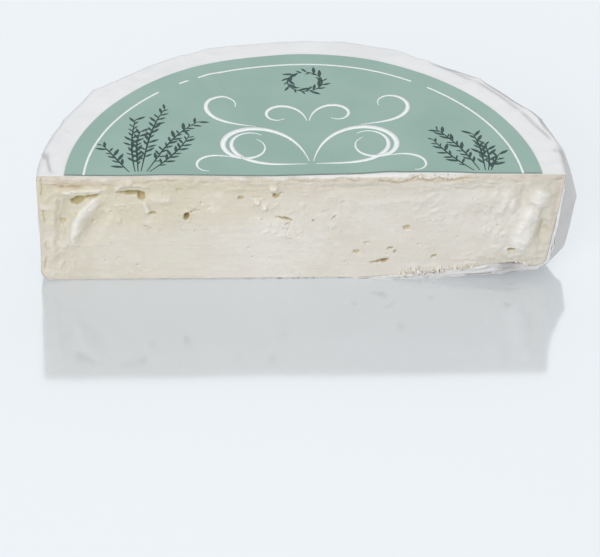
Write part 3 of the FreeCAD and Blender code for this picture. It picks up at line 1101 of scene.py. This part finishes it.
def stroke(x, y, heading, length, turn_start, turn_end, width, thinnest=0.3):
    """A pen stroke that turns by so many degrees a millimetre, first and last: its path and its widths."""
    steps = 90
    share = np.linspace(0, 1, steps)
    aim = np.radians(heading + length * (turn_start * share + (turn_end - turn_start) * share**2 / 2))
    step = length / (steps - 1)
    path = np.column_stack([x + np.cumsum(np.cos(aim)) * step, y + np.cumsum(np.sin(aim)) * step])
    return path, thinnest + (width - thinnest) * np.sin(np.pi * share) ** 1.3


def joined(ribbons):
    """Several ribbons as one set of points and faces."""
    points, faces, first = [], [], 0
    for ribbon_points, ribbon_faces in ribbons:
        points.append(ribbon_points)
        faces += [tuple(first + corner for corner in face) for face in ribbon_faces]
        first += len(ribbon_points)
    return np.concatenate(points), faces


def mirrored(path, middle):
    return np.column_stack([2 * middle - path[:, 0], path[:, 1]])


white_lines = []
for angle0, angle1 in ring_angles:
    sweep = np.radians(np.linspace(angle0, angle1, int(angle1 - angle0) * 2 + 2))
    arc_path = np.column_stack([np.cos(sweep), np.sin(sweep)]) * ring_radius - [0, past_axis]
    white_lines.append(ribbon(arc_path, np.full(len(sweep), ring_width)))
# Scrolls: where they start from the middle line and from the cut, heading, length, turn at the start and at
# the end, width.
scroll_middle = 3
scrolls = [
    (0.6, 8, 78, 80, -0.7, -9.4, 2.2),
    (19, 32, 12, 44, -0.8, 13.5, 1.6),
    (0.4, 35, 80, 33, -2, -16.4, 1.4),
    (1, 7, 4, 50, -1.2, 9.8, 1.7),
    (27.5, 11.5, 16, 24, 0, -17, 1.1),
]
for out, y, heading, length, turn_start, turn_end, width in scrolls:
    path, widths = stroke(scroll_middle + out, y, heading, length, turn_start, turn_end, width)
    white_lines.append(ribbon(path, widths))
    white_lines.append(ribbon(mirrored(path, scroll_middle)[::-1], widths[::-1]))
ink_points, ink_faces = joined(white_lines)
white_print = mesh_piece("white_print", in_place(on_label(ink_points)), ink_faces)
white_ink, tree, place = new_finish("white_ink")
fibre = tree.noise(place, 0.35, 3)
tint = tree.mix(fibre.rise(0.4, 0.8), colour(251, 254, 253), colour(243, 250, 247))
surface(tree, tint, 0.45 + 0.1 * fibre, 0.3, [(fibre, 0.01)])
white_print.data.materials.append(white_ink)
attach(white_print, "root")

# MEADOW PRINT
# Dark green ink on the label: bent stalks of meadow plants, set with leaves that alternate left and right.
# A tall bunch stands left of the scrolls, a low one right of them, and a small wreath of leaves above.
# Stalks: x and distance behind the cut of the root, heading, length, turn at the root and at the tip.
stalks = [
    (-61, 2, 98, 34, -0.4, -0.6),
    (-59, 2, 82, 42, 0.2, -1),
    (-57, 2, 66, 38, 0.3, -1.6),
    (-63, 2, 122, 20, -0.8, 1),
    (-56, 2, 48, 28, 0.4, 1.4),
    (-60, 2, 90, 26, 0.8, -2),
    (66, 2, 92, 24, -0.4, 1.8),
    (64, 2, 108, 30, 0.4, 1),
    (68, 2, 72, 11, 0.3, -2),
    (62, 2, 132, 24, -0.5, -1),
    (67, 2, 78, 18, 1, 2),
]
stalk_width, stalk_tip, bare_steps = 0.7, 0.35, 16
wreath_x, wreath_y, wreath_radius, wreath_gap, wreath_width = 3.0, 62.0, 6.6, 0.15, 0.5
stalk_lines, leafy_lines = [], []
for x, y, heading, length, turn_start, turn_end in stalks:
    path, widths = stroke(x, y, heading, length, turn_start, turn_end, stalk_width, stalk_tip)
    stalk_lines.append(ribbon(path, widths))
    leafy_lines.append(path[bare_steps::2])
sweep = np.linspace(wreath_gap, 2 * math.pi - wreath_gap, 60) + math.pi / 2
wreath = np.column_stack([wreath_x + wreath_radius * np.cos(sweep), wreath_y + wreath_radius * np.sin(sweep)])
stalk_lines.append(ribbon(wreath, np.full(len(sweep), wreath_width)))
leafy_lines.append(wreath)
guide_points, guide_edges = [], []
for line in leafy_lines:
    guide_edges += [(len(guide_points) + n, len(guide_points) + n + 1) for n in range(len(line) - 1)]
    guide_points += [(at_x, at_y, 0.0) for at_x, at_y in line]
stalk_points, stalk_faces = joined(stalk_lines)
meadow_stalks = mesh_piece("meadow_stalks", in_place(on_label(stalk_points)), stalk_faces)
leaf_mesh = bpy.data.meshes.new("meadow_leaves")
leaf_mesh.from_pydata((np.array(guide_points) * mm).tolist(), guide_edges, [])
leaves = new_object("meadow_leaves", leaf_mesh)

dark_ink, tree, place = new_finish("dark_green_ink")
fibre = tree.noise(place, 0.35, 3)
tint = tree.mix(fibre.rise(0.4, 0.8), colour(45, 72, 68), colour(66, 95, 89))
surface(tree, tint, 0.5 + 0.1 * fibre, 0.25, [(fibre, 0.01)])

leaf_sizes = {
    "Leaf Spacing": 1.5 * mm,
    "Leaf Length": 2.1 * mm,
    "Leaf Width": 0.62 * mm,
    "Ink Height": ink_height * mm,
    "Leaf Spread": 0.75,
    "Seed": 3,
}
group, tree, given = new_sizes("leaves_along_stalks", leaf_sizes)
seed = given.out("Seed")
line = tree.node("GeometryNodeMeshToCurve", {}, {"Mesh": given.out("Guide")})
spaced = {"Curve": line, "Length": given.out("Leaf Spacing")}
line = tree.node("GeometryNodeResampleCurve", {"mode": "LENGTH"}, spaced)
blade = tree.node("GeometryNodeMeshUVSphere", {}, {"Segments": 12, "Rings": 6, "Radius": 1.0})
spot = tree.node("GeometryNodeInputPosition")
spot_x = tree.node("ShaderNodeSeparateXYZ", {}, {0: spot})
narrow = 1 - 0.55 * spot_x * spot_x
slim = tree.node("ShaderNodeCombineXYZ", {}, {"X": 1.0, "Y": narrow, "Z": 1.0})
lens = tree.vector("ADD", tree.vector("MULTIPLY", spot, slim), (1.0, 0.0, 0.0))
measures = {"X": given.out("Leaf Length"), "Y": given.out("Leaf Width"), "Z": given.out("Ink Height")}
lens = tree.vector("MULTIPLY", lens, tree.node("ShaderNodeCombineXYZ", {}, measures))
blade = tree.node("GeometryNodeSetPosition", {}, {"Geometry": blade, "Position": lens})
way = tree.node("GeometryNodeInputTangent")
way_x = tree.node("ShaderNodeSeparateXYZ", {}, {0: way})
heading = tree.node("ShaderNodeMath", {"operation": "ARCTAN2"}, {0: way_x.out("Y"), 1: way_x})
count = tree.node("GeometryNodeInputIndex")
side = tree.node("ShaderNodeMath", {"operation": "MODULO"}, {0: count, 1: 2.0}) * 2 - 1
chances = {"Min_001": 0.6, "Max_001": 1.3, "Seed": seed}
wander = tree.node("FunctionNodeRandomValue", {}, chances).out("Value_001")
aimed = tree.node("ShaderNodeCombineXYZ", {}, {"Z": heading + side * given.out("Leaf Spread") * wander})
chances = {"Min_001": 0.55, "Max_001": 1.25, "Seed": seed + 1}
longer = tree.node("FunctionNodeRandomValue", {}, chances).out("Value_001")
strew(tree, line, blade, aimed, longer, dark_ink)
leaves = grown(leaves, group, leaf_sizes)
flat = np.zeros(len(leaves.data.vertices) * 3)
leaves.data.vertices.foreach_get("co", flat)
leaves.data.vertices.foreach_set("co", in_place(on_label(flat.reshape(-1, 3) / mm)).ravel())
meadow_stalks.data.materials.append(dark_ink)
for piece in (meadow_stalks, leaves):
    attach(piece, "root")

# STUDIO
# A white glossy table under a pale sky, three soft lamps behind, in front and to the right, and a long lens
# that looks down on the cut.
table_reach = 6.0
table_corners = [(x * table_reach, y * table_reach, 0) for x, y in ((-1, -1), (1, -1), (1, 1), (-1, 1))]
floor = new_object("table", bpy.data.meshes.new("table"))
floor.data.from_pydata(table_corners, [], [(0, 1, 2, 3)])
white_table, tree, place = new_finish("white_table")
inputs = {"Base Color": (0.66, 0.687, 0.71, 1), "Roughness": 0.1, "Metallic": 0.26, "Specular IOR Level": 0.9}
gloss = tree.node("ShaderNodeBsdfPrincipled", {}, inputs)
# The table glows for the camera, more behind the cut than in front: painted light that lifts the shadows on
# it.
glow = tree.node("ShaderNodeEmission", {}, {"Color": (0.85, 0.89, 0.92, 1), "Strength": 1.0})
along_table = tree.node("ShaderNodeSeparateXYZ", {}, {0: place})
far_off = 0.3 + along_table.out("Y").rise(-0.02, 0.16) * 0.45
seen = tree.node("ShaderNodeLightPath").out("Is Camera Ray")
both = tree.node("ShaderNodeMixShader", {}, {0: far_off * seen, 1: gloss, 2: glow})
tree.node("ShaderNodeOutputMaterial", {}, {"Surface": both})
floor.data.materials.append(white_table)

world = bpy.data.worlds.new("studio")
bpy.context.scene.world = world
world.use_nodes = True
sky = world.node_tree.nodes["Background"].inputs
sky["Color"].default_value = (0.93, 0.96, 1, 1)
sky["Strength"].default_value = 0.5


def softbox(name, place, aim, width, depth, power, warmth=(1, 1, 1)):
    """A rectangular soft lamp that faces a point of the frame."""
    lamp = bpy.data.lights.new(name, "AREA")
    lamp.color = warmth
    lamp.shape, lamp.size, lamp.size_y, lamp.energy = "RECTANGLE", width, depth, power
    holder = new_object(name, lamp)
    holder.location = place
    holder.rotation_euler = (Vector(aim) - Vector(place)).to_track_quat("-Z", "Y").to_euler()


softbox("back", (0.25, 1.3, 1.15), (0, -0.05, 0), 1.9, 1.2, 10)
softbox("front", (-0.5, -1.3, 0.8), (0, 0, 0.02), 1.2, 0.8, 14)
softbox("right", (1.3, -0.5, 0.35), (0.08, 0, 0.02), 0.8, 0.6, 1.3, (1, 0.86, 0.66))

camera = new_object("camera", bpy.data.cameras.new("camera"))
camera_distance = 1.0192
camera.data.sensor_width = 36
camera.data.lens = 164.6
camera.data.clip_end = 20
azimuth, elevation, roll = math.radians(-3.52), math.radians(36.86), math.radians(1.64)
level_reach = math.cos(elevation)
back = Vector((math.sin(azimuth) * level_reach, -math.cos(azimuth) * level_reach, math.sin(elevation)))
level = Vector((0, 0, 1)).cross(back).normalized()
upright = back.cross(level)
right = level * math.cos(roll) + upright * math.sin(roll)
up = upright * math.cos(roll) - level * math.sin(roll)
target = Vector((axis_x - 0.5 * mm, cut_y - 0.1 * mm, 0))
facing = Matrix((right, up, back)).transposed().to_4x4()
camera.matrix_world = Matrix.Translation(target + back * camera_distance) @ facing
bpy.context.scene.camera = camera
bpy.context.scene.view_settings.view_transform = "Standard"
